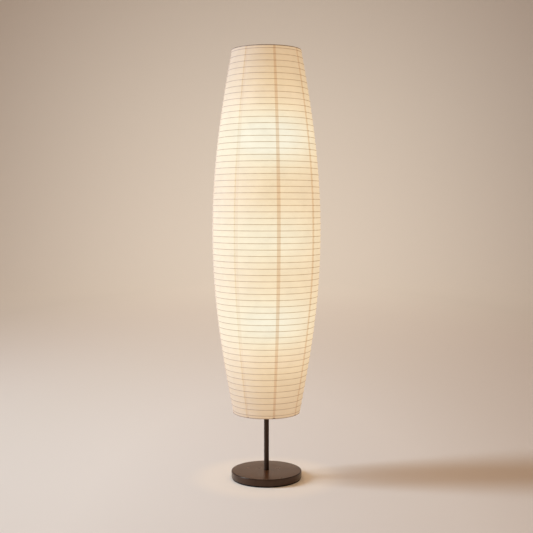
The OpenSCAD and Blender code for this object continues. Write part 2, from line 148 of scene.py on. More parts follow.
def ramp(tree, factor, *stops):
    """Colours between the stops, each a place from 0 to 1 and a colour."""
    made = tree.nodes.new("ShaderNodeValToRGB")
    elements = made.color_ramp.elements
    while len(elements) < len(stops):
        elements.new(1)
    for element, (place, colour) in zip(elements, stops):
        element.position = place
        element.color = (*colour, 1)
    tree.links.new(factor, made.inputs["Fac"])
    return made.outputs["Color"]


def spread(tree, value, low, high, out_low, out_high, smooth=False):
    """A value moved from one range to another, held at its ends."""
    made = tree.nodes.new("ShaderNodeMapRange")
    made.interpolation_type = "SMOOTHSTEP" if smooth else "LINEAR"
    tree.links.new(value, made.inputs["Value"])
    ends = {"From Min": low, "From Max": high, "To Min": out_low, "To Max": out_high}
    for name, number in ends.items():
        made.inputs[name].default_value = number
    return made.outputs["Result"]


def bump(tree, shader, height, depth):
    """Relief of the given depth in metres on a shader."""
    made = tree.nodes.new("ShaderNodeBump")
    made.inputs["Distance"].default_value = depth
    tree.links.new(height, made.inputs["Height"])
    tree.links.new(made.outputs["Normal"], shader.inputs["Normal"])


def calc(tree, operation, *terms):
    """One step of arithmetic on numbers and outputs."""
    made = tree.nodes.new("ShaderNodeMath")
    made.operation = operation
    for socket, term in zip(made.inputs, terms):
        socket_of(tree, socket, term)
    return made.outputs[0]


def mixed(tree, factor, first, second, blend="MIX"):
    """Two colours mixed by a factor."""
    made = tree.nodes.new("ShaderNodeMix")
    made.data_type = "RGBA"
    made.blend_type = blend
    for name, value in zip(("Factor_Float", "A_Color", "B_Color"), (factor, first, second)):
        socket = next(s for s in made.inputs if s.identifier == name)
        socket_of(tree, socket, value)
    return next(s for s in made.outputs if s.identifier == "Result_Color")


def distance_to(tree, point, stretch=(1, 1, 1)):
    """How far a place on the piece is from a point, in metres, with each axis stretched."""
    away = tree.nodes.new("ShaderNodeVectorMath")
    away.operation = "DISTANCE"
    tree.links.new(place_on(tree, stretch), away.inputs[0])
    away.inputs[1].default_value = [p * k for p, k in zip(point, stretch)]
    return away.outputs["Value"]


ROLL_STEPS = 16
SHEET_STEPS = 96
roll = [math.pi / 2 * i / ROLL_STEPS for i in range(ROLL_STEPS + 1)]
sheet = drawn_line(
    "studio_sheet",
    [(0, 0, 0)]
    + [(FLOOR_R + ROLL_R * math.sin(a), 0, ROLL_R * (1 - math.cos(a))) for a in roll]
    + [(FLOOR_R + ROLL_R, 0, WALL_H)],
)
spun(sheet, SHEET_STEPS)

# The sheet's colour is painted lighter in a pool round the lamp and darker further off,
# as painted light. The wall at the back carries a soft painted glow, and a little painted
# light lies round the foot, where the lamp's own light would fall.
POOL_PLACE = (0, -0.3, 0)
POOL_STRETCH = (3, 1, 1)
POOL_REACH = 14
PAINTED_POOL_TONES = (
    (0.0, (0.85, 0.78, 0.73)),
    (0.12, (0.84, 0.765, 0.70)),
    (0.22, (0.75, 0.67, 0.60)),
    (0.4, (0.61, 0.525, 0.465)),
    (0.58, (0.49, 0.41, 0.35)),
    (1.0, (0.45, 0.37, 0.32)),
)
# Painted glow on the wall at the back, made as an emission of the sheet.
HALO_PLACE = (-0.08, 8.0, 0.5)
HALO_STRETCH = (0.7, 0.5, 0.65)
HALO_REACH = 4.6
PAINTED_HALO_COLOUR = (0.455, 0.413, 0.345)
# Painted light round the foot, standing for the lamp's light falling on the floor there.
SPILL_PLACE = (0, 0.012, 0)
SPILL_R = 0.228
SPILL_SOFT = 0.05
PAINTED_SPILL_COLOUR = (0.072, 0.046, 0.017)

sheet_material, sheet_shader = new_material("studio_sheet", Roughness=0.9, Emission_Strength=1.0)
tree = sheet_material.node_tree
# Painted light and shade: the sheet's colour is lighter near the lamp and darker further off.
pool = calc(tree, "DIVIDE", distance_to(tree, POOL_PLACE, POOL_STRETCH), POOL_REACH)
tree.links.new(ramp(tree, pool, *PAINTED_POOL_TONES), sheet_shader.inputs["Base Color"])
# Painted glow at the back of the studio.
halo = spread(tree, distance_to(tree, HALO_PLACE, HALO_STRETCH), 0, HALO_REACH, 1, 0, smooth=True)
painted_halo = ramp(tree, halo, (0, (0, 0, 0)), (1, PAINTED_HALO_COLOUR))
# Painted light: a warm emissive disc on the floor round the foot.
spill = distance_to(tree, SPILL_PLACE)
spill = spread(tree, spill, SPILL_R - SPILL_SOFT, SPILL_R + SPILL_SOFT, 1, 0, smooth=True)
spill = ramp(tree, spill, (0, (0, 0, 0)), (1, PAINTED_SPILL_COLOUR))
tree.links.new(mixed(tree, 1.0, painted_halo, spill, "ADD"), sheet_shader.inputs["Emission Color"])
sheet.data.materials.append(sheet_material)

KEY_PLACE = Vector((-4.9, -0.3, 2.8))
KEY_AIM = Vector((0, 0, 0.7))
KEY_SIZE = (1.4, 3.8)
KEY_POWER = 322
KEY_COLOUR = (0.67, 0.85, 1.0)
key_turn = (KEY_AIM - KEY_PLACE).to_track_quat("-Z", "Y").to_euler()
bpy.ops.object.light_add(type="AREA", location=KEY_PLACE, rotation=key_turn)
key = bpy.context.object
key.name = "key_light"
key.data.shape = "ELLIPSE"
key.data.size, key.data.size_y = KEY_SIZE
key.data.energy = KEY_POWER
key.data.color = KEY_COLOUR
key.visible_camera = False

FILL_COLOUR = (1.0, 0.705, 0.485, 1)
FILL_STRENGTH = 0.585
studio = bpy.data.worlds.new("studio")
bpy.context.scene.world = studio
studio.use_nodes = True
fill = studio.node_tree.nodes["Background"]
fill.inputs["Color"].default_value = FILL_COLOUR
fill.inputs["Strength"].default_value = FILL_STRENGTH
bpy.context.scene.view_settings.view_transform = "Standard"


# ---- Foot
# A cast iron disc under a spun steel cover, powder coated dark brown, on a foam ring.
# The wiring pocket, its lid and the clamping nut are underneath.
PATCH = 30 * MM


def tinted(name, dark, light, rough, lump, depth, stretch=(1, 1, 1), **constants):
    """A finish with patches of colour and roughness over a fine relief of lumps of this size."""
    made, shader = new_material(name, **constants)
    tree = made.node_tree
    patches = grain(tree, PATCH, 3)
    tree.links.new(ramp(tree, patches, (0.3, dark), (0.7, light)), shader.inputs["Base Color"])
    tree.links.new(spread(tree, patches, 0.3, 0.7, *rough), shader.inputs["Roughness"])
    bump(tree, shader, grain(tree, lump, 2, stretch), depth)
    return made


def give(material, *names):
    """These nodes of the frame wear the material."""
    for name in names:
        nodes[name].data.materials.clear()
        nodes[name].data.materials.append(material)


def settle(piece):
    """The piece's place, turn and size go into its mesh."""
    select_only(piece)
    bpy.ops.object.transform_apply(location=True, rotation=True, scale=True)


def copied(pattern, name, place=(0, 0, 0), turn=(0, 0, 0)):
    """A copy of the pattern with its own mesh, turned and set down at a place."""
    made = pattern.copy()
    made.data = pattern.data.copy()
    made.name = made.data.name = name
    bpy.context.collection.objects.link(made)
    made.location = place
    made.rotation_euler = turn
    settle(made)
    return made


def joined(name, *parts):
    """The parts as one mesh."""
    select_only(*parts)
    bpy.ops.object.join()
    parts[0].name = parts[0].data.name = name
    return parts[0]


def bored(piece, place, turn, radius, depth):
    """A round hole through the piece's wall, cut with a drill of this radius and depth."""
    bpy.ops.mesh.primitive_cylinder_add(
        vertices=48, radius=radius, depth=depth, location=place, rotation=turn
    )
    drill = bpy.context.object
    hole = piece.modifiers.new("hole", "BOOLEAN")
    hole.operation = "DIFFERENCE"
    hole.object = drill
    select_only(piece)
    bpy.ops.object.modifier_apply(modifier=hole.name)
    bpy.data.objects.remove(drill)


def fitted(piece, material, slot, body, *stands_for):
    """The piece wears a material, rides on a body, and stands for these nodes of the frame."""
    piece.data.materials.clear()
    piece.data.materials.append(material)
    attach(piece, body)
    if stands_for:
        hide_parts(*stands_for)


def turned(name, profile, steps, sharp=math.radians(30)):
    """A piece turned about the Z axis from a profile of radius and height in millimetres."""
    return spun(drawn_line(name, [(r * MM, 0, z * MM) for r, z in profile]), steps, sharp=sharp)


def arc(centre, radius, start, end, steps=6):
    """Points of a profile round a rounded edge, from one angle in degrees to another."""
    angles = [math.radians(start + (end - start) * i / steps) for i in range(steps + 1)]
    return [(centre[0] + radius * math.cos(a), centre[1] + radius * math.sin(a)) for a in angles]


WARM_GLOSS = (1.0, 0.78, 0.62, 1)
brown_coat = tinted(
    "brown_coat",
    (0.030, 0.0165, 0.0105),
    (0.038, 0.021, 0.0135),
    (0.36, 0.44),
    1.1 * MM,
    0.015 * MM,
    Specular_IOR_Level=0.34,
    Specular_Tint=WARM_GLOSS,
)
# The same coat on the foot as a smoother satin. Its top face is painted paler and warmer,
# as painted light from the lamp above, and its rounded edge is painted darker as painted shade.
PAINTED_TOP_LIGHT = (0.078, 0.029, 0.0105, 1)
PAINTED_EDGE_SHADE = (0.010, 0.005, 0.0035, 1)
FOOT_GLOSS = (0.75, 0.56, 0.45, 1)
foot_coat = tinted(
    "foot_coat",
    (0.046, 0.0245, 0.016),
    (0.056, 0.030, 0.0195),
    (0.27, 0.31),
    1.1 * MM,
    0.004 * MM,
    Specular_IOR_Level=0.52,
    Specular_Tint=FOOT_GLOSS,
)
tree = foot_coat.node_tree
foot_shader = tree.nodes["Principled BSDF"]
brown = foot_shader.inputs["Base Color"].links[0].from_socket
facing = tree.nodes.new("ShaderNodeSeparateXYZ")
tree.links.new(tree.nodes.new("ShaderNodeNewGeometry").outputs["True Normal"], facing.inputs[0])
# Painted shade on the rounded edge and painted light on the top face, picked by which way the
# surface faces.
rounded = spread(tree, facing.outputs["Z"], 0.1, 0.3, 0, 1)
flat = spread(tree, facing.outputs["Z"], 0.95, 0.995, 0, 1)
edged = mixed(tree, rounded, brown, PAINTED_EDGE_SHADE)
tree.links.new(mixed(tree, flat, edged, PAINTED_TOP_LIGHT), foot_shader.inputs["Base Color"])
foot_foam = tinted(
    "foot_foam",
    (0.006, 0.005, 0.0045),
    (0.01, 0.008, 0.007),
    (0.85, 0.95),
    0.8 * MM,
    0.1 * MM,
    Specular_IOR_Level=0.08,
)
cast_iron = tinted(
    "cast_iron",
    (0.006, 0.005, 0.0045),
    (0.011, 0.009, 0.008),
    (0.6, 0.75),
    2 * MM,
    0.25 * MM,
    Specular_IOR_Level=0.12,
)
TURNING_LINES = (1, 1, 8)
brass = tinted(
    "turned_brass",
    (0.62, 0.43, 0.17),
    (0.74, 0.55, 0.26),
    (0.24, 0.34),
    0.4 * MM,
    0.01 * MM,
    TURNING_LINES,
    Metallic=1.0,
)
zinc = tinted(
    "zinc_plate",
    (0.5, 0.5, 0.48),
    (0.62, 0.62, 0.6),
    (0.28, 0.42),
    0.5 * MM,
    0.01 * MM,
    Metallic=1.0,
)
black_nylon = tinted(
    "black_nylon", (0.022, 0.02, 0.019), (0.03, 0.028, 0.026), (0.5, 0.6), 0.5 * MM, 0.03 * MM
)
white_plastic = tinted(
    "white_moulding", (0.78, 0.77, 0.73), (0.84, 0.83, 0.8), (0.36, 0.44), 0.6 * MM, 0.01 * MM
)

# The cover stops short of the floor on a rolled lip, so a dark gap runs round under it.
FOOT_R = 113.8
FOOT_TOP = 26.4
COVER_T = 1.5
COVER_ROUND = 2.5
LIP_UP = 5.6
POLE_HOLE = 5.05
FLAT_R = 60
FOOT_STEPS = 144
GLAND_HOLE = 6.05 * MM
GLAND_PLACE = (0, 112 * MM, 11 * MM)
GLAND_DRILL = 12 * MM
TO_THE_BACK = (math.pi / 2, 0, 0)

foot_cover = turned(
    "foot_cover",
    [(POLE_HOLE, FOOT_TOP), (FLAT_R, FOOT_TOP)]
    + arc((FOOT_R - COVER_ROUND, FOOT_TOP - COVER_ROUND), COVER_ROUND, 90, 0, 8)
    + arc((FOOT_R - COVER_T / 2, LIP_UP), COVER_T / 2, 0, -180)
    + arc((FOOT_R - COVER_ROUND, FOOT_TOP - COVER_ROUND), COVER_ROUND - COVER_T, 0, 90, 4)
    + [(POLE_HOLE, FOOT_TOP - COVER_T), (POLE_HOLE, FOOT_TOP)],
    FOOT_STEPS,
)
bored(foot_cover, GLAND_PLACE, TO_THE_BACK, GLAND_HOLE, GLAND_DRILL)
fitted(foot_cover, foot_coat, "brown_coat", "column", "base_cover")

# The ring is cut from foam sheet, so its edges are pressed round.
RING_OUT, RING_IN = 111, 42
RING_T = 2
RING_EDGE = 0.6
foam_ring = turned(
    "foam_ring",
    arc((RING_OUT - RING_EDGE, RING_EDGE), RING_EDGE, -90, 0, 4)
    + arc((RING_OUT - RING_EDGE, RING_T - RING_EDGE), RING_EDGE, 0, 90, 4)
    + arc((RING_IN + RING_EDGE, RING_T - RING_EDGE), RING_EDGE, 90, 180, 4)
    + arc((RING_IN + RING_EDGE, RING_EDGE), RING_EDGE, 180, 270, 4)
    + [(RING_OUT - RING_EDGE, 0)],
    FOOT_STEPS,
)
fitted(foam_ring, foot_foam, "foot_pad", "column", "base_pad")

give(cast_iron, "base_weight")
give(brass, "base_nipple", "terminal_screws")
give(zinc, "base_washer", "base_nut", "pocket_lid", "lid_screws")
give(black_nylon, "cord_gland")
give(white_plastic, "terminal_block")


# ---- Pole
# Four lengths of 16 mm steel tube in the foot's brown coat, screwed together on brass nipples,
# with a zinc plated stud in the top.
give(brown_coat, "pole_tube_1", "pole_tube_2", "pole_tube_3", "pole_tube_4")
give(brass, "pole_nipple_1", "pole_nipple_2", "pole_nipple_3")
give(zinc, "top_stud")


# ---- Leads
# The lamp's own wires, in a pale sheath, inside the pole and out through its side to each holder.
lead_sheath = tinted(
    "lead_sheath", (0.58, 0.56, 0.5), (0.66, 0.64, 0.58), (0.4, 0.5), 1.5 * MM, 0.02 * MM
)
LEAD_D = 4
TRUNK_D = 5
LEAD_DROP = 24
REACH = 45
lead_outs = [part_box(f"holder_arm_{k}")[0].z / MM - LEAD_DROP for k in (1, 2, 3)]


def lead(name, thickness, points):
    """A round lead on one smooth route near the points, in millimetres."""
    route = bpy.data.curves.new(name, "CURVE")
    route.dimensions = "3D"
    route.bevel_depth = thickness / 2 * MM
    route.bevel_resolution = 4
    route.use_fill_caps = True
    line = route.splines.new("NURBS")
    line.points.add(len(points) - 1)
    for knot, (px, py, pz) in zip(line.points, points):
        knot.co = (px * MM, py * MM, pz * MM, 1)
    line.order_u = 4
    line.use_endpoint_u = True
    line.resolution_u = 6
    made = bpy.data.objects.new(name, route)
    bpy.context.collection.objects.link(made)
    select_only(made)
    bpy.ops.object.convert(target="MESH")
    bpy.ops.object.shade_smooth()
    return bpy.context.object


trunk = [(0, 11, 6.7), (0, 4, 6.7), (0, 0, 7), (0, 0, 12), (0, 0, 60), (0, 0, lead_outs[2] - 9)]
in_pole = [(0, 0, -16), (0, 0, -8), (0, -0.5, -2)]
under_arm = [(0, -6, 0), (0, -12, 0), (0, -22, -1.6), (0, -33, -2.4), (0, -43, -1)]
to_holder = [(0, -REACH, pz) for pz in (6, 14, 24, LEAD_DROP + 12)]
branch = in_pole + under_arm + to_holder
runs = [lead("trunk", TRUNK_D, trunk)]
for k, out in enumerate(lead_outs, 1):
    runs.append(lead(f"lead_{k}", LEAD_D, [(px, py, out + pz) for px, py, pz in branch]))
fitted(joined("leads", *runs), lead_sheath, "lead_sheath", "column", "wiring")


# ---- Holder arms and lamp holders
# Steel strips clamped in the pole's joints, and on each a black moulded cup with a brass
# screw shell and centre contact.
holder_moulding = tinted(
    "holder_moulding",
    (0.026, 0.024, 0.023),
    (0.036, 0.034, 0.032),
    (0.32, 0.42),
    0.5 * MM,
    0.015 * MM,
)
HOLDER_R = 17.5
HOLDER_H = 44
HOLDER_FLOOR = 10
GRIP_COLUMNS = 64
GRIP_LOW, GRIP_HIGH = 15, 38
GRIP_IN = 16
GROOVE_EDGE = 0.3 * MM
GROOVE_DEPTH = 0.5 * MM
SHELL_R = 13.15
SHELL_OUT = 13.85
SHELL_LOW, SHELL_HIGH = HOLDER_FLOOR + 1, HOLDER_H - 2.5
CUP_R = 13.95
THREAD_PITCH = 25.4 / 7
THREAD_DEPTH = 0.45
THREAD_RUNOUT = 1
THREAD_STEPS = 10
ROUND_STEPS = 64
feet = [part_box(f"holder_body_{k}")[0].z for k in (1, 2, 3)]


def in_pairs(place):
    """Every other column of faces round a turned piece."""
    return int(math.atan2(place.y, place.x) / (2 * math.pi) % 1 * GRIP_COLUMNS) % 2 == 0


def runout(z, low, high):
    """How full a thread between two heights is at a height, from 0 at its ends to 1."""
    return min(1, (z - low) / THREAD_RUNOUT, (high - z) / THREAD_RUNOUT)


def thread_line(radius, low, high, ease=0.0):
    """Points of a profile close enough for a thread, drawn in by the ease at each end."""
    count = round((high - low) / THREAD_PITCH * THREAD_STEPS)
    heights = [low + (high - low) * i / count for i in range(count + 1)]
    return [(radius - ease * (1 - runout(z, low, high)), z) for z in heights]


def widened(vertex, factor):
    """The vertex moves out from the Z axis, or in, by a factor."""
    vertex.co.x *= factor
    vertex.co.y *= factor


def roll_thread(piece, low, high, inside, outside):
    """A right-handed round thread rolled into the walls between two heights and two radii."""
    for vertex in piece.data.vertices:
        r, z = math.hypot(vertex.co.x, vertex.co.y) / MM, vertex.co.z / MM
        if low < z < high and inside < r < outside:
            turn = math.atan2(vertex.co.y, vertex.co.x)
            wave = math.cos(2 * math.pi * z / THREAD_PITCH - turn)
            widened(vertex, 1 + THREAD_DEPTH * runout(z, low, high) * wave / r)


holder = turned(
    "holder",
    [(POLE_HOLE, 0), (12.2, 0)]
    + arc((12.2, 1.2), 1.2, -90, -20, 3)
    + arc((HOLDER_R - 1.5, 12.5), 1.5, -20, 0, 3)
    + [(HOLDER_R, GRIP_LOW), (HOLDER_R, GRIP_HIGH), (HOLDER_R, 40)]
    + arc((HOLDER_R + 0.6, 41.2), 0.6, -90, 0, 3)
    + arc((HOLDER_R + 0.4, HOLDER_H - 0.8), 0.8, 0, 90, 4)
    + arc((CUP_R + 0.8, HOLDER_H - 0.8), 0.8, 90, 180, 4)
    + [(CUP_R, HOLDER_FLOOR), (POLE_HOLE, HOLDER_FLOOR), (POLE_HOLE, 0)],
    GRIP_COLUMNS,
)
bpy.ops.object.mode_set(mode="EDIT")
bpy.ops.mesh.select_mode(type="FACE")
bpy.ops.mesh.select_all(action="DESELECT")
bpy.ops.object.mode_set(mode="OBJECT")
for face in holder.data.polygons:
    on_grip = GRIP_LOW * MM < face.center.z < GRIP_HIGH * MM
    outside = math.hypot(face.center.x, face.center.y) > GRIP_IN * MM
    face.select = on_grip and outside and in_pairs(face.center)
bpy.ops.object.mode_set(mode="EDIT")
bpy.ops.mesh.inset(thickness=GROOVE_EDGE, depth=-GROOVE_DEPTH, use_individual=True)
bpy.ops.object.mode_set(mode="OBJECT")

shell = turned(
    "shell",
    [(SHELL_OUT, HOLDER_FLOOR + 0.1), (SHELL_R, HOLDER_FLOOR + 0.1)]
    + thread_line(SHELL_R, SHELL_LOW, SHELL_HIGH)
    + [(SHELL_R + 0.1, HOLDER_H - 1.2)]
    + arc((SHELL_OUT - 0.25, HOLDER_H - 1.2), 0.25, 180, 0, 4)
    + [(SHELL_OUT, HOLDER_FLOOR + 0.1)],
    ROUND_STEPS,
)
roll_thread(shell, SHELL_LOW, SHELL_HIGH, SHELL_R - 0.1, SHELL_R + 0.1)

for k, foot in enumerate(feet, 1):
    place = (0, -REACH * MM, foot)
    cup = copied(holder, f"lamp_holder_{k}", place)
    fitted(cup, holder_moulding, "holder_moulding", "column", f"holder_body_{k}")
    fitted(copied(shell, f"screw_shell_{k}", place), brass, "brass", "column", f"holder_shell_{k}")
    give(brown_coat, f"holder_arm_{k}")
    give(brass, f"holder_contact_{k}")
bpy.data.objects.remove(holder)
bpy.data.objects.remove(shell)
give(brass, "holder_nipples")
give(zinc, "holder_nuts")


# ---- Bulbs
# Opal globes on white moulded bodies, each with a nickel plated screw cap. They are lit.
nickel = tinted(
    "nickel_plate",
    (0.58, 0.56, 0.51),
    (0.68, 0.66, 0.61),
    (0.16, 0.24),
    0.4 * MM,
    0.008 * MM,
    Metallic=1.0,
)
opal = new_material(
    "opal_glow",
    Base_Color=(0.95, 0.92, 0.86, 1),
    Roughness=0.35,
    Emission_Color=(1.0, 0.72, 0.42, 1),
    Emission_Strength=48.0,
)[0]
CAP_R = 13
CAP_FOOT = 18
CAP_TOP = CAP_FOOT + 26.9
CAP_LIP = 13.4
CAP_LOW, CAP_HIGH = CAP_FOOT + 8, CAP_FOOT + 23.8
BUTTON_R = 2.4
BUTTON_ROUND = 1.5
BUTTON_STEPS = 48
BODY_FOOT = 45
NECK_R = 13.6
NECK_H = 38
BODY_TOP = BODY_FOOT + NECK_H
GLOBE_SEAT_R = 27.4
FLARE_STEPS = 16

cap = turned(
    "cap",
    [(0, CAP_FOOT + 4.6), (9.7, CAP_FOOT + 4.6), (10.3, CAP_FOOT + 4.9), (12.1, CAP_FOOT + 7.2)]
    + thread_line(CAP_R, CAP_LOW, CAP_HIGH, ease=0.5)
    + [(12.6, CAP_FOOT + 25.4), (13.2, CAP_FOOT + 26.0), (CAP_LIP, CAP_FOOT + 26.4)]
    + [(CAP_LIP, CAP_TOP), (0, CAP_TOP)],
    ROUND_STEPS,
)
roll_thread(cap, CAP_LOW, CAP_HIGH, CAP_R - 0.6, CAP_R + 0.1)
insulator = turned(
    "insulator",
    [(0, CAP_FOOT + 1.3)]
    + arc((4.6, CAP_FOOT + 1.9), 0.6, -90, -40, 3)
    + [(9.6, CAP_FOOT + 4.2), (9.6, CAP_FOOT + 4.7), (0, CAP_FOOT + 4.7)],
    ROUND_STEPS,
)
button = turned(
    "button",
    [(0, CAP_FOOT), (BUTTON_R, CAP_FOOT)]
    + arc((BUTTON_R, CAP_FOOT + BUTTON_ROUND), BUTTON_ROUND, -90, 0, 5)
    + [(BUTTON_R + BUTTON_ROUND, CAP_FOOT + 1.6), (0, CAP_FOOT + 1.6)],
    BUTTON_STEPS,
)
flare = []
for i in range(FLARE_STEPS + 1):
    t = i / FLARE_STEPS
    swell = (GLOBE_SEAT_R - NECK_R - 0.1) * t * t * (3 - 2 * t)
    flare.append((NECK_R + 0.1 + swell, BODY_FOOT + 3.4 + (NECK_H - 4.4) * t))
stem = turned(
    "stem",
    [(0, BODY_FOOT), (NECK_R - 0.4, BODY_FOOT), (NECK_R, BODY_FOOT + 0.4)]
    + [(NECK_R, BODY_FOOT + 2.2), (NECK_R - 0.5, BODY_FOOT + 2.5), (NECK_R - 0.5, BODY_FOOT + 2.9)]
    + flare
    + [(GLOBE_SEAT_R - 0.6, BODY_TOP - 0.5), (GLOBE_SEAT_R - 0.6, BODY_TOP), (0, BODY_TOP)],
    ROUND_STEPS,
)
for k, foot in enumerate(feet, 1):
    place = (0, -REACH * MM, foot)
    fitted(copied(cap, f"cap_shell_{k}", place), nickel, "nickel_cap", f"cap_{k}", f"bulb_cap_{k}")
    disc = copied(insulator, f"cap_insulator_{k}", place)
    fitted(disc, holder_moulding, "holder_moulding", f"cap_{k}")
    fitted(copied(button, f"cap_button_{k}", place), brass, "brass", f"cap_{k}")
    body = copied(stem, f"bulb_stem_{k}", place)
    fitted(body, white_plastic, "white_plastic", f"bulb_{k}", f"bulb_body_{k}")
    give(opal, f"bulb_globe_{k}")
for pattern in (cap, insulator, button, stem):
    bpy.data.objects.remove(pattern)


# ---- Bottom stay
# A zinc plated collar with four wire arms, held on the pole by a grub screw. It keeps the
# shade's open bottom centred.
COLLAR_R = 15
COLLAR_BORE = 8.05
COLLAR_UP = 6
COLLAR_EDGE = 0.8
SCREW_HOLE = 2.55 * MM
SCREW_PLACE = (0, 12 * MM, 0)
SCREW_DRILL = 12 * MM
STAY_WIRE_R = 1.5
STAY_TIP_R = 3
STAY_ROOM = 5 * MM
TIP_LONG = 7
TIP_FIT = 0.02
TIP_SKIN = 0.6
WIRE_STEPS = 24
FIRST_SEAM = math.radians(-77.5)
stay_low, stay_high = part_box("bottom_stay")
stay_z = (stay_low.z + stay_high.z) / 2
stay_reach = (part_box("bottom_ring")[1].x - STAY_ROOM) / MM

collar = turned(
    "collar",
    [(COLLAR_BORE, -COLLAR_UP), (COLLAR_R - COLLAR_EDGE, -COLLAR_UP)]
    + [(COLLAR_R, COLLAR_EDGE - COLLAR_UP), (COLLAR_R, COLLAR_UP - COLLAR_EDGE)]
    + [(COLLAR_R - COLLAR_EDGE, COLLAR_UP), (COLLAR_BORE, COLLAR_UP), (COLLAR_BORE, -COLLAR_UP)],
    ROUND_STEPS,
)
bored(collar, SCREW_PLACE, TO_THE_BACK, SCREW_HOLE, SCREW_DRILL)
neck = math.degrees(math.acos(STAY_WIRE_R / STAY_TIP_R))
wire_root, wire_end = COLLAR_R - 2, stay_reach - 4.5
wire = turned(
    "stay_wire",
    [(0, wire_root), (STAY_WIRE_R, wire_root), (STAY_WIRE_R, 60)]
    + [(STAY_WIRE_R, wire_end), (0, wire_end)],
    WIRE_STEPS,
)
ball_z, tip_foot = stay_reach - STAY_TIP_R, stay_reach - TIP_LONG
tip_bore = STAY_WIRE_R + TIP_FIT
tip = turned(
    "stay_tip",
    [(0, ball_z), (tip_bore, ball_z), (tip_bore, tip_foot), (STAY_WIRE_R + TIP_SKIN, tip_foot)]
    + arc((0, ball_z), STAY_TIP_R, 12 - neck, 90, 10),
    WIRE_STEPS,
)
turns = [(0, math.pi / 2, FIRST_SEAM + i * math.pi / 2) for i in range(4)]
wires = [copied(wire, "wire", (0, 0, stay_z), turn) for turn in turns]
tips = [copied(tip, "tip", (0, 0, stay_z), turn) for turn in turns]
stay = joined("stay", copied(collar, "stay", (0, 0, stay_z)), *wires)
fitted(stay, zinc, "zinc_steel", "column", "bottom_stay")
nylon = tinted(
    "natural_nylon", (0.7, 0.68, 0.6), (0.78, 0.76, 0.69), (0.4, 0.5), 0.8 * MM, 0.01 * MM
)
fitted(joined("stay_tips", *tips), nylon, "natural_nylon", "column")
for pattern in (collar, wire, tip):
    bpy.data.objects.remove(pattern)
give(zinc, "stay_screw")


# ---- Hub, spider, rings and hoops
# The shade rests on a nylon bush by the eye of a wire spider, under a brown turned nut. Two
# rings stiffen the rims, and sixty hoops hold the paper out.
shade_wire = tinted(
    "lacquered_wire",
    (0.11, 0.07, 0.045),
    (0.17, 0.11, 0.075),
    (0.35, 0.5),
    0.6 * MM,
    0.02 * MM,
    Metallic=0.4,
)
ARM_R = 2
ARM_SLOPE = math.radians(13)
ARM_ROOT = 11
EYE_HOLE = 6.05
EYE_R = 12
EYE_UP = 1.5
RING_WIRE = 3
BEAD_IN, BEAD_DOWN = 0.9, 1.7
BEAD_SIZE = (2.1 * MM, 2.9 * MM, 1.6 * MM)
spider_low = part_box("shade_spider")[0].z / MM
ring_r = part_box("top_ring")[1].x / MM - RING_WIRE / 2
ring_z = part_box("top_ring")[1].z / MM - RING_WIRE / 2
eye_z = spider_low + ARM_R * math.cos(ARM_SLOPE)
arm_end = ring_r + (RING_WIRE / 2 + ARM_R + 0.1) * math.sin(ARM_SLOPE)
arm_long = (arm_end - ARM_ROOT) / math.cos(ARM_SLOPE)

eye = turned(
    "eye",
    [(EYE_HOLE, -1.1), (EYE_HOLE + 0.4, -EYE_UP), (11.3, -EYE_UP), (EYE_R, -0.8), (EYE_R, 0.8)]
    + [(11.3, EYE_UP), (EYE_HOLE + 0.4, EYE_UP), (EYE_HOLE, 1.1), (EYE_HOLE, -1.1)],
    ROUND_STEPS,
)
arm = turned(
    "arm",
    [(0, 0), (2.0, 0), (2.45, 0.5), (2.55, 1.2), (2.35, 2.1)]
    + [(ARM_R, 3.0), (ARM_R, 50), (ARM_R, arm_long - 0.6)]
    + arc((ARM_R - 0.6, arm_long - 0.6), 0.6, 0, 90, 3)
    + [(0, arm_long)],
    WIRE_STEPS,
)
arm.location.x = ARM_ROOT * MM
arm.rotation_euler.y = math.pi / 2 - ARM_SLOPE
settle(arm)
bpy.ops.mesh.primitive_uv_sphere_add(
    segments=20,
    ring_count=12,
    location=((ring_r - BEAD_IN) * MM, 0, (ring_z - eye_z - BEAD_DOWN) * MM),
    scale=BEAD_SIZE,
)
bead = bpy.context.object
bpy.ops.object.shade_smooth()
settle(bead)
arm = joined("spider_arm", arm, bead)
hung_at = (0, 0, eye_z * MM)
arms = [copied(arm, "arm", hung_at, (0, 0, math.pi / 4 + i * math.pi / 2)) for i in range(4)]
spider = joined("spider", copied(eye, "spider", hung_at), *arms)
fitted(spider, shade_wire, "shade_wire", "shade", "shade_spider")
bpy.data.objects.remove(arm)
bpy.data.objects.remove(eye)
give(nylon, "hub_bush")
give(shade_wire, "top_ring", "bottom_ring", "rib_hoops")

# The nut is turned from bar and fluted for the fingers, with a low crown.
NUT_R = 11
NUT_BORE = 4.05
NUT_DEEP = 11
CROWN_ROUND = 2.2
FLUTES = 16
FLUTE_DEPTH = 0.85
FLUTE_LOW, FLUTE_HIGH = 1.4, 10.6
FLUTE_END = 1.2
FLUTE_STEPS = 16
FLUTE_COLUMNS = 8
flute_long = FLUTE_HIGH - FLUTE_LOW
flute_line = [(NUT_R, FLUTE_LOW + flute_long * i / FLUTE_STEPS) for i in range(FLUTE_STEPS + 1)]
nut = turned(
    "nut",
    [(0, NUT_DEEP), (NUT_BORE, NUT_DEEP), (NUT_BORE, 0.4), (NUT_BORE + 0.4, 0)]
    + [(NUT_R - 1, 0), (NUT_R - 0.2, 0.5), (NUT_R, 0.9)]
    + flute_line
    + arc((NUT_R - CROWN_ROUND, 11.2), CROWN_ROUND, 0, 75, 6)
    + [(6, 13.75), (3, 13.95), (0, 14)],
    FLUTES * FLUTE_COLUMNS,
)
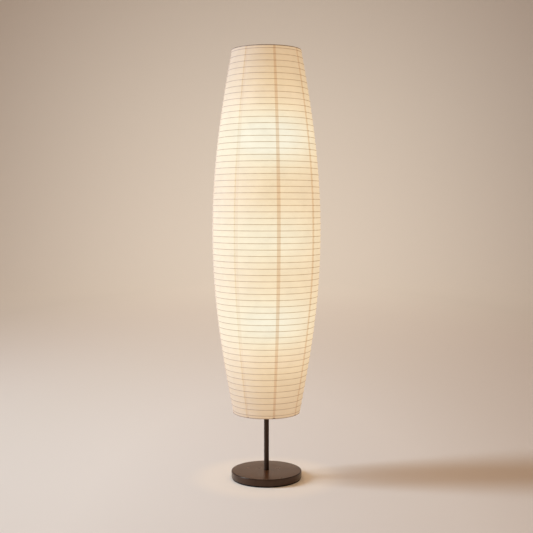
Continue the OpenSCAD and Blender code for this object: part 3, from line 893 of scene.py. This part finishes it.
for vertex in nut.data.vertices:
    r, z = math.hypot(vertex.co.x, vertex.co.y) / MM, vertex.co.z / MM
    if r > NUT_R - 0.1 and FLUTE_LOW < z < FLUTE_HIGH:
        end = min(1, (z - FLUTE_LOW) / FLUTE_END, (FLUTE_HIGH - z) / FLUTE_END)
        round_end = math.sqrt(1 - (1 - end) ** 2)
        hollow = max(0.0, math.cos(FLUTES * math.atan2(vertex.co.y, vertex.co.x))) ** 1.5
        widened(vertex, 1 - FLUTE_DEPTH * round_end * hollow / r)
finial = copied(nut, "finial", (0, 0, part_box("finial_nut")[0].z))
bpy.data.objects.remove(nut)
fitted(finial, brown_coat, "brown_coat", "finial", "finial_nut")


# ---- Paper
# Eight gores of mulberry paper, pasted over the hoops with narrow laps and creased at each
# hoop, so that every bay between two hoops dips a little. The bulbs' light through the paper is
# painted on as a glow.
GORES = 8
HOOPS = 60
HOOP_WIRE = 1.3 * MM
MID_R = 175 * MM
TOP_R = 112 * MM
BOTTOM_R = 108.5 * MM
FULLNESS = 0.14
PAPER_T = 0.4 * MM
LAP_GAP = 0.1 * MM
LAP = math.radians(3.8)
BAY_STEPS = 4
BAY_DIP = 1.4 * MM
WAVER = 0.3 * MM
WAVES = 28
RIPPLES = 90
GORE_STEPS = 28
CREASE = math.radians(12)

gore_turn = 2 * math.pi / GORES
shade_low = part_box("bottom_ring")[0].z
shade_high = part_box("top_ring")[1].z
paper_low, paper_high = (corner.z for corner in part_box("paper_gore_1"))
first_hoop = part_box("rib_hoops")[0].z + HOOP_WIRE / 2
last_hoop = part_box("rib_hoops")[1].z - HOOP_WIRE / 2
hoop_pitch = (last_hoop - first_hoop) / (HOOPS - 1)
lap_shift = (PAPER_T + LAP_GAP) / (2 * math.sin(gore_turn / 2))
lap_rise = lap_shift * math.sin((gore_turn + LAP) / 2)


def barrel_r(z):
    """The barrel's outer radius at a height."""
    middle, half = (shade_low + shade_high) / 2, (shade_high - shade_low) / 2
    u = (z - middle) / half
    drop = MID_R - (TOP_R if u > 0 else BOTTOM_R)
    return MID_R - drop * ((1 + FULLNESS) * u**2 - FULLNESS * u**4)


paper_levels = [paper_low] + [first_hoop + i * hoop_pitch for i in range(HOOPS)] + [paper_high]
gore_line = []
for low, high in zip(paper_levels, paper_levels[1:]):
    for step in range(BAY_STEPS):
        t = step / BAY_STEPS
        z = low + (high - low) * t
        dip = BAY_DIP * (high - low) / hoop_pitch * 4 * t * (1 - t)
        gore_line.append((barrel_r(z) - lap_rise - dip, 0, z))
gore_line.append((barrel_r(paper_high) - lap_rise, 0, paper_high))

first_gore = drawn_line("gore", gore_line)
spun(first_gore, GORE_STEPS, gore_turn + LAP, sharp=CREASE)

# The paper's glow is painted light, brightest round each bulb. Painted shadows of the hoops and
# rims, and painted shade where the laps lie double, show in it as darker lines. The gore facing
# the key light is painted paler, and the others differ a little at random.
GLOW_REACH = 0.133
GLOW_FALL = 3.0
GLOW_TOP = 1.6
PAINTED_GLOW_TONES = (
    (0.03, (0.57, 0.37, 0.195)),
    (0.06, (0.65, 0.45, 0.255)),
    (0.12, (0.725, 0.52, 0.30)),
    (0.2, (0.79, 0.585, 0.345)),
    (0.3, (0.83, 0.628, 0.39)),
    (0.45, (0.87, 0.69, 0.44)),
    (0.7, (0.915, 0.79, 0.56)),
    (1.0, (0.93, 0.865, 0.68)),
)
BULB_SHARES = (0.88, 1.0, 1.05)
PAINTED_WIRE_SHADOW = (0.45, 0.33, 0.22, 1)
PAINTED_WASH_TINT = (0.955, 0.935, 1.03, 1)
PAINTED_WASH_SHARES = (0.0, 0.1, 0.05, 0.0, 0.1, 0.15, 1.0, 0.0)
PAINTED_LAP_SHADE = (0.86, 0.75, 0.65, 1)
PAINTED_LAP_END_SHADE = (0.35, 0.25, 0.16, 1)
FACE = ((0.3, (0.13, 0.155, 0.19)), (0.7, (0.157, 0.183, 0.218)))
DARKER_FACE_IN_GLOW = (0.05, 0.045, 0.04, 1)
HOT_FROM, HOT_TO, HOT_MOST = 0.35, 0.9, 0.8
HOOP_LINE = (0.4 * MM, 1.4 * MM)
PASTE, PASTE_LEAST = 20 * MM, 0.75
SEAM_EDGE = math.radians(0.15)
KEY_SIDE_LAP_FADE = (-0.07, 0.0, 0.3, 1)
TOP_RIM = (3.4 * MM, 2.6 * MM)
BOTTOM_RIM = (2.2 * MM, 3.0 * MM)
LAP_END = (3.4 * MM, 4.4 * MM)
CLOUD, FIBRE, MOTTLE, TOOTH = 45 * MM, 14 * MM, 30 * MM, 3 * MM
TOOTH_DEPTH = 0.15 * MM
LAID_PITCH = hoop_pitch / 5
LAID_DEPTH = 0.02


def shaded(tree, amount, colour, shade):
    """The colour multiplied by a shade, as far as the amount says."""
    return mixed(tree, amount, colour, mixed(tree, 1.0, colour, shade, "MULTIPLY"))


paper, paper_shader = new_material("lantern_paper", Roughness=0.85, Emission_Strength=1.0)
tree = paper.node_tree
where = place_on(tree)
apart = tree.nodes.new("ShaderNodeSeparateXYZ")
tree.links.new(where, apart.inputs[0])
x, y, z = apart.outputs

# Painted glow: the emission falls off with distance from each bulb.
glow = 0.0
for k, share in enumerate(BULB_SHARES, 1):
    low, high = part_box(f"bulb_globe_{k}")
    near = calc(tree, "DIVIDE", GLOW_REACH, distance_to(tree, (low + high) / 2))
    glow = calc(tree, "MULTIPLY_ADD", calc(tree, "POWER", near, GLOW_FALL), share, glow)
lit = ramp(tree, calc(tree, "DIVIDE", glow, GLOW_TOP), *PAINTED_GLOW_TONES)

# Painted shadows of the hoops: dark bands in the glow at each hoop.
from_hoop = calc(tree, "PINGPONG", calc(tree, "SUBTRACT", z, first_hoop), hoop_pitch / 2)
hoop_line = spread(tree, from_hoop, *HOOP_LINE, 1, 0, smooth=True)
uneven = spread(tree, grain(tree, PASTE, 2), 0.3, 0.7, PASTE_LEAST, 1.0)
# Painted light: the gore facing the key light is painted paler, and the hoops' painted shadows
# show less on it. The small shares on the other gores are random differences in tone.
sheet_of = tree.nodes.new("ShaderNodeAttribute")
sheet_of.attribute_name = "painted_wash_share"
pale = sheet_of.outputs["Fac"]
lit = shaded(tree, pale, lit, PAINTED_WASH_TINT)
showing = spread(tree, pale, 0, 1, 1, 0.3)
uneven = calc(tree, "MULTIPLY", uneven, showing)
lit = shaded(tree, calc(tree, "MULTIPLY", hoop_line, uneven), lit, PAINTED_WIRE_SHADOW)

# Painted shade at the laps, where the paper lies double; it fades out towards the key light's
# side, as painted light.
round_about = calc(tree, "ARCTAN2", y, x)
from_seam = calc(tree, "PINGPONG", calc(tree, "SUBTRACT", round_about, FIRST_SEAM), gore_turn / 2)
seam = spread(tree, from_seam, LAP / 2 - SEAM_EDGE, LAP / 2 + SEAM_EDGE, 1, 0)
seam = calc(tree, "MULTIPLY", seam, spread(tree, x, *KEY_SIDE_LAP_FADE))
lit = shaded(tree, seam, lit, PAINTED_LAP_SHADE)

# Painted shadows of the two rings, in bands along the top and bottom rims.
top_rim = spread(tree, z, shade_high - TOP_RIM[0], shade_high - TOP_RIM[1], 0, 1)
bottom_rim = spread(tree, z, shade_low + BOTTOM_RIM[0], shade_low + BOTTOM_RIM[1], 1, 0)
lit = shaded(tree, calc(tree, "MAXIMUM", top_rim, bottom_rim), lit, PAINTED_WIRE_SHADOW)
# The painted glow is darker where each lap meets the bottom rim.
lap_end = spread(tree, z, shade_low + LAP_END[0], shade_low + LAP_END[1], 1, 0)
lit = shaded(tree, calc(tree, "MULTIPLY", seam, lap_end), lit, PAINTED_LAP_END_SHADE)

clouds = spread(tree, grain(tree, CLOUD, 4), 0.3, 0.7, 0.96, 1.03)
fibres = spread(tree, grain(tree, FIBRE, 5, (1, 1, 6)), 0.3, 0.7, 0.97, 1.02)
laid = calc(tree, "SINE", calc(tree, "MULTIPLY", z, 2 * math.pi / LAID_PITCH))
laid = calc(tree, "MULTIPLY_ADD", laid, LAID_DEPTH, 1.0)
texture = calc(tree, "MULTIPLY", calc(tree, "MULTIPLY", clouds, fibres), laid)
scaled = tree.nodes.new("ShaderNodeVectorMath")
scaled.operation = "SCALE"
tree.links.new(lit, scaled.inputs[0])
tree.links.new(texture, scaled.inputs["Scale"])
tree.links.new(scaled.outputs["Vector"], paper_shader.inputs["Emission Color"])
# The paper's face colour is painted darker where the painted glow is brightest, as painted shade.
face = ramp(tree, grain(tree, MOTTLE, 4), *FACE)
hot = spread(tree, glow, HOT_FROM * GLOW_TOP, HOT_TO * GLOW_TOP, 0, HOT_MOST, smooth=True)
tree.links.new(mixed(tree, hot, face, DARKER_FACE_IN_GLOW), paper_shader.inputs["Base Color"])
bump(tree, paper_shader, grain(tree, TOOTH, 4, (1, 1, 3)), TOOTH_DEPTH)

for g in range(1, GORES + 1):
    gore = copied(first_gore, f"gore_{g}")
    luck = random.Random(g)
    offset = Vector([luck.uniform(0, 100) for _ in range(3)])
    for vertex in gore.data.vertices:
        level = (vertex.co.z - first_hoop) / hoop_pitch % 1
        sway = noise.noise(vertex.co * WAVES + offset)
        sway += 0.5 * noise.noise(vertex.co * RIPPLES + offset)
        r = math.hypot(vertex.co.x, vertex.co.y)
        widened(vertex, 1 + WAVER * sway * math.sin(math.pi * level) / r)
    seam_at = FIRST_SEAM + (g - 1) * gore_turn
    side = seam_at + gore_turn / 2 + math.pi / 2
    gore.rotation_euler.z = seam_at - LAP / 2
    gore.location = (lap_shift * math.cos(side), lap_shift * math.sin(side), 0)
    settle(gore)
    wall = gore.modifiers.new("wall", "SOLIDIFY")
    wall.thickness = PAPER_T
    wall.offset = -1
    bpy.ops.object.modifier_apply(modifier=wall.name)
    # Each gore carries its share of the painted paling.
    shown = gore.data.attributes.new("painted_wash_share", "FLOAT", "POINT")
    shown.data.foreach_set("value", [PAINTED_WASH_SHARES[g - 1]] * len(gore.data.vertices))
    fitted(gore, paper, "lantern_paper", "shade", f"paper_gore_{g}")
bpy.data.objects.remove(first_gore)
